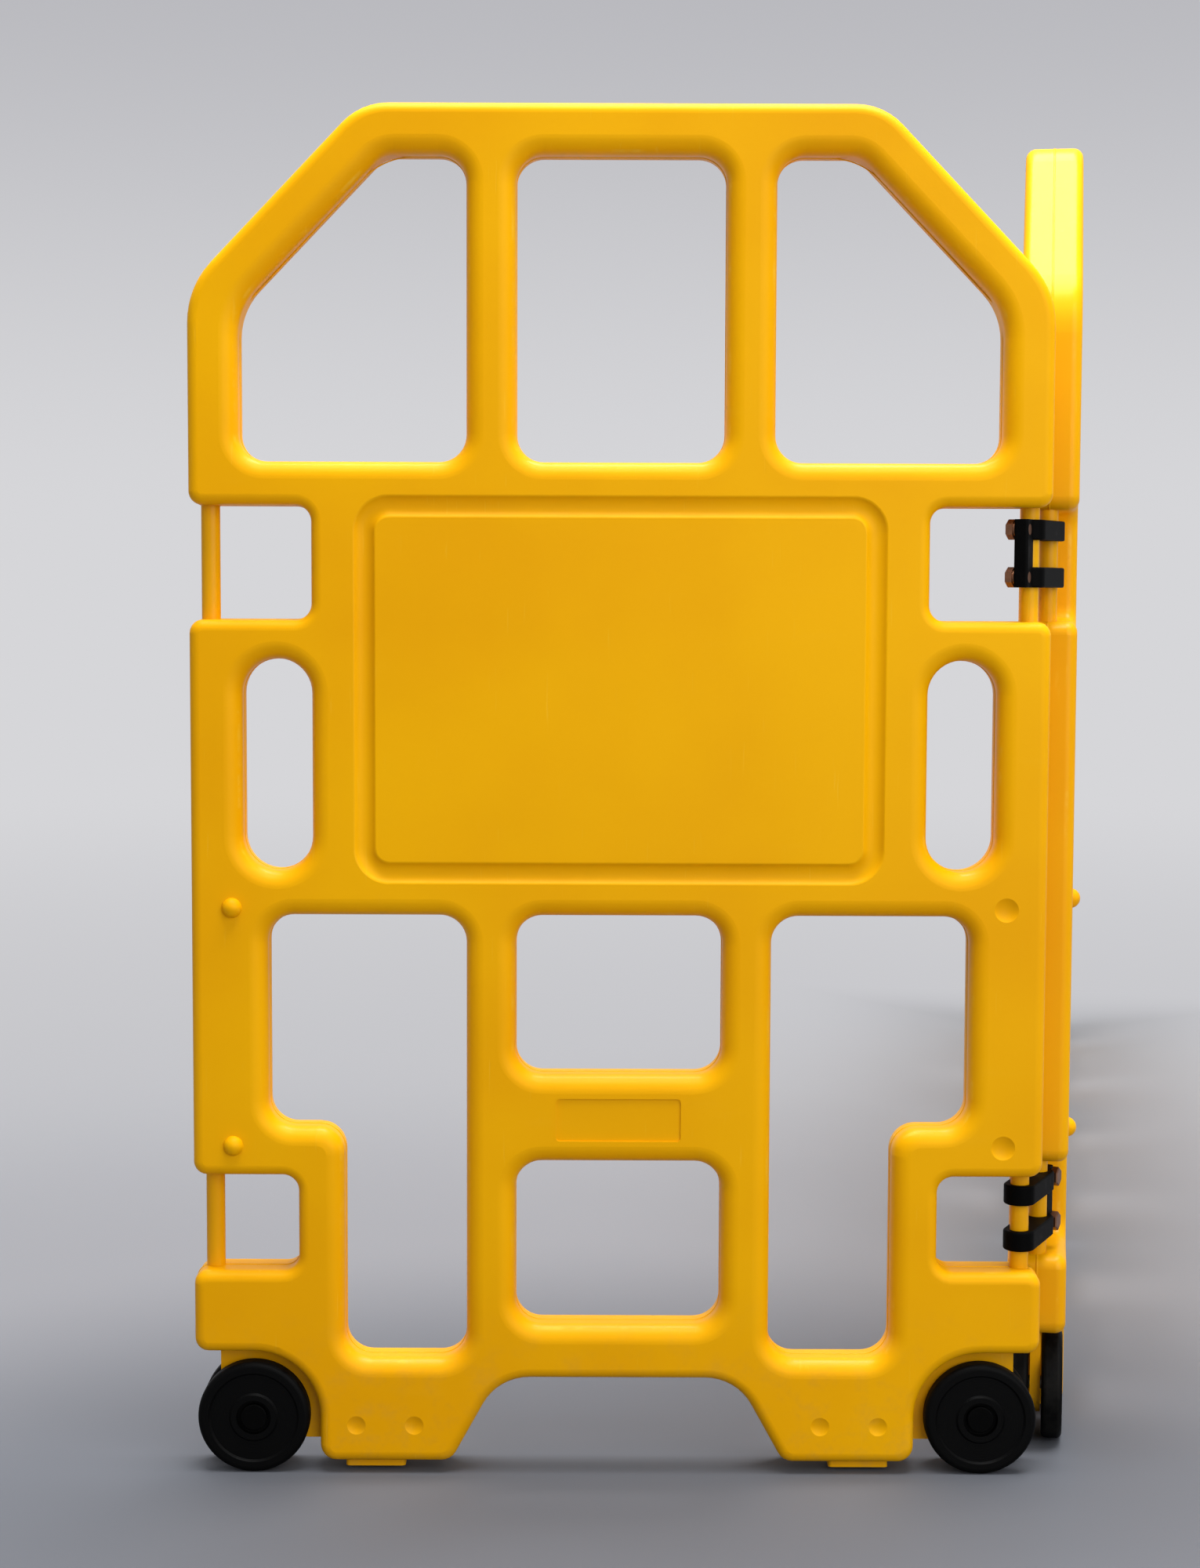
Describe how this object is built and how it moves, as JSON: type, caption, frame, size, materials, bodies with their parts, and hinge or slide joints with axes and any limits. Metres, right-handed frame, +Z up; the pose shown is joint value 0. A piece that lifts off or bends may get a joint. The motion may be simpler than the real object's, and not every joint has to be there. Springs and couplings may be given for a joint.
{
  "type": "expandable barrier",
  "caption": "Folding wheeled crowd barrier: hollow moulded yellow panels with windows, hand slots and a blank sign field, linked by double-pivot hinge clips.",
  "frame": {"origin": "on the floor, under the middle of the box of the barrier as it stands in its corner shape", "axes": "+Z up; the first panel runs along X and faces -Y; the other panels run back towards +Y"},
  "size_m": [0.9896, 1.9834, 1.016],
  "materials": {
    "yellow_panel": "satin",
    "black_wheel": "matte",
    "black_clip": "satin",
    "black_cap": "satin",
    "steel_screw": "satin",
    "steel_axle": "satin"
  },
  "bodies": {
    "panel_1": {"panel_1": "yellow_panel", "hinge_rods_1": "yellow_panel", "left_axle_1": "steel_axle", "right_axle_1": "steel_axle", "axle_caps_1": "black_cap"},
    "panel_2": {"panel_2": "yellow_panel", "hinge_rods_2": "yellow_panel", "left_axle_2": "steel_axle", "right_axle_2": "steel_axle", "axle_caps_2": "black_cap"},
    "panel_3": {"panel_3": "yellow_panel", "hinge_rods_3": "yellow_panel", "left_axle_3": "steel_axle", "right_axle_3": "steel_axle", "axle_caps_3": "black_cap"},
    "panel_4": {"panel_4": "yellow_panel", "hinge_rods_4": "yellow_panel", "left_axle_4": "steel_axle", "right_axle_4": "steel_axle", "axle_caps_4": "black_cap"},
    "link_1": {"upper_clip_cover_1": "black_clip", "upper_clip_base_1": "black_clip", "lower_clip_cover_1": "black_clip", "lower_clip_base_1": "black_clip", "clip_screws_1": "steel_screw"},
    "link_2": {"upper_clip_cover_2": "black_clip", "upper_clip_base_2": "black_clip", "lower_clip_cover_2": "black_clip", "lower_clip_base_2": "black_clip", "clip_screws_2": "steel_screw"},
    "link_3": {"upper_clip_cover_3": "black_clip", "upper_clip_base_3": "black_clip", "lower_clip_cover_3": "black_clip", "lower_clip_base_3": "black_clip", "clip_screws_3": "steel_screw"},
    "front_left_wheel_1": {"front_left_wheel_1": "black_wheel"},
    "back_left_wheel_1": {"back_left_wheel_1": "black_wheel"},
    "front_right_wheel_1": {"front_right_wheel_1": "black_wheel"},
    "back_right_wheel_1": {"back_right_wheel_1": "black_wheel"},
    "front_left_wheel_2": {"front_left_wheel_2": "black_wheel"},
    "back_left_wheel_2": {"back_left_wheel_2": "black_wheel"},
    "front_right_wheel_2": {"front_right_wheel_2": "black_wheel"},
    "back_right_wheel_2": {"back_right_wheel_2": "black_wheel"},
    "front_left_wheel_3": {"front_left_wheel_3": "black_wheel"},
    "back_left_wheel_3": {"back_left_wheel_3": "black_wheel"},
    "front_right_wheel_3": {"front_right_wheel_3": "black_wheel"},
    "back_right_wheel_3": {"back_right_wheel_3": "black_wheel"},
    "front_left_wheel_4": {"front_left_wheel_4": "black_wheel"},
    "back_left_wheel_4": {"back_left_wheel_4": "black_wheel"},
    "front_right_wheel_4": {"front_right_wheel_4": "black_wheel"},
    "back_right_wheel_4": {"back_right_wheel_4": "black_wheel"}
  },
  "joints": [
    {"name": "hinge_1_near_rod", "type": "hinge", "parent": "panel_1", "child": "link_1", "pos_m": [0.12621, -0.96324, 0.5895], "axis": [0, 0, 1], "range_deg": [-64.4, 25.6]},
    {"name": "hinge_1_far_rod", "type": "hinge", "parent": "link_1", "child": "panel_2", "pos_m": [0.14782, -0.91815, 0.5895], "axis": [0, 0, 1], "range_deg": [-15.9, 74.1]},
    {"name": "hinge_2_near_rod", "type": "hinge", "parent": "panel_2", "child": "link_2", "pos_m": [0.25009, -0.31983, 0.5895], "axis": [0, 0, -1], "range_deg": [0, 90]},
    {"name": "hinge_2_far_rod", "type": "hinge", "parent": "link_2", "child": "panel_3", "pos_m": [0.25851, -0.27054, 0.5895], "axis": [0, 0, -1], "range_deg": [0, 90]},
    {"name": "hinge_3_near_rod", "type": "hinge", "parent": "panel_3", "child": "link_3", "pos_m": [0.36079, 0.32778, 0.5895], "axis": [0, 0, 1], "range_deg": [0, 90]},
    {"name": "hinge_3_far_rod", "type": "hinge", "parent": "link_3", "child": "panel_4", "pos_m": [0.36921, 0.37706, 0.5895], "axis": [0, 0, 1], "range_deg": [0, 90]},
    {"name": "front_left_wheel_1_spin", "type": "hinge", "parent": "panel_1", "child": "front_left_wheel_1", "pos_m": [-0.45079, -0.97624, 0.042], "axis": [0, 1, 0], "continuous": true},
    {"name": "back_left_wheel_1_spin", "type": "hinge", "parent": "panel_1", "child": "back_left_wheel_1", "pos_m": [-0.45079, -0.95024, 0.042], "axis": [0, 1, 0], "continuous": true},
    {"name": "front_right_wheel_1_spin", "type": "hinge", "parent": "panel_1", "child": "front_right_wheel_1", "pos_m": [0.09621, -0.97624, 0.042], "axis": [0, 1, 0], "continuous": true},
    {"name": "back_right_wheel_1_spin", "type": "hinge", "parent": "panel_1", "child": "back_right_wheel_1", "pos_m": [0.09621, -0.95024, 0.042], "axis": [0, 1, 0], "continuous": true},
    {"name": "front_left_wheel_2_spin", "type": "hinge", "parent": "panel_2", "child": "front_left_wheel_2", "pos_m": [0.16568, -0.89077, 0.042], "axis": [-0.9857, 0.1685, 0], "continuous": true},
    {"name": "back_left_wheel_2_spin", "type": "hinge", "parent": "panel_2", "child": "back_left_wheel_2", "pos_m": [0.14006, -0.88639, 0.042], "axis": [-0.9857, 0.1685, 0], "continuous": true},
    {"name": "front_right_wheel_2_spin", "type": "hinge", "parent": "panel_2", "child": "front_right_wheel_2", "pos_m": [0.25785, -0.35159, 0.042], "axis": [-0.9857, 0.1685, 0], "continuous": true},
    {"name": "back_right_wheel_2_spin", "type": "hinge", "parent": "panel_2", "child": "back_right_wheel_2", "pos_m": [0.23222, -0.34721, 0.042], "axis": [-0.9857, 0.1685, 0], "continuous": true},
    {"name": "front_left_wheel_3_spin", "type": "hinge", "parent": "panel_3", "child": "front_left_wheel_3", "pos_m": [0.27638, -0.24316, 0.042], "axis": [-0.9857, 0.1685, 0], "continuous": true},
    {"name": "back_left_wheel_3_spin", "type": "hinge", "parent": "panel_3", "child": "back_left_wheel_3", "pos_m": [0.25075, -0.23878, 0.042], "axis": [-0.9857, 0.1685, 0], "continuous": true},
    {"name": "front_right_wheel_3_spin", "type": "hinge", "parent": "panel_3", "child": "front_right_wheel_3", "pos_m": [0.36855, 0.29602, 0.042], "axis": [-0.9857, 0.1685, 0], "continuous": true},
    {"name": "back_right_wheel_3_spin", "type": "hinge", "parent": "panel_3", "child": "back_right_wheel_3", "pos_m": [0.34292, 0.3004, 0.042], "axis": [-0.9857, 0.1685, 0], "continuous": true},
    {"name": "front_left_wheel_4_spin", "type": "hinge", "parent": "panel_4", "child": "front_left_wheel_4", "pos_m": [0.38708, 0.40444, 0.042], "axis": [-0.9857, 0.1685, 0], "continuous": true},
    {"name": "back_left_wheel_4_spin", "type": "hinge", "parent": "panel_4", "child": "back_left_wheel_4", "pos_m": [0.36145, 0.40882, 0.042], "axis": [-0.9857, 0.1685, 0], "continuous": true},
    {"name": "front_right_wheel_4_spin", "type": "hinge", "parent": "panel_4", "child": "front_right_wheel_4", "pos_m": [0.47924, 0.94362, 0.042], "axis": [-0.9857, 0.1685, 0], "continuous": true},
    {"name": "back_right_wheel_4_spin", "type": "hinge", "parent": "panel_4", "child": "back_right_wheel_4", "pos_m": [0.45362, 0.948, 0.042], "axis": [-0.9857, 0.1685, 0], "continuous": true}
  ]
}
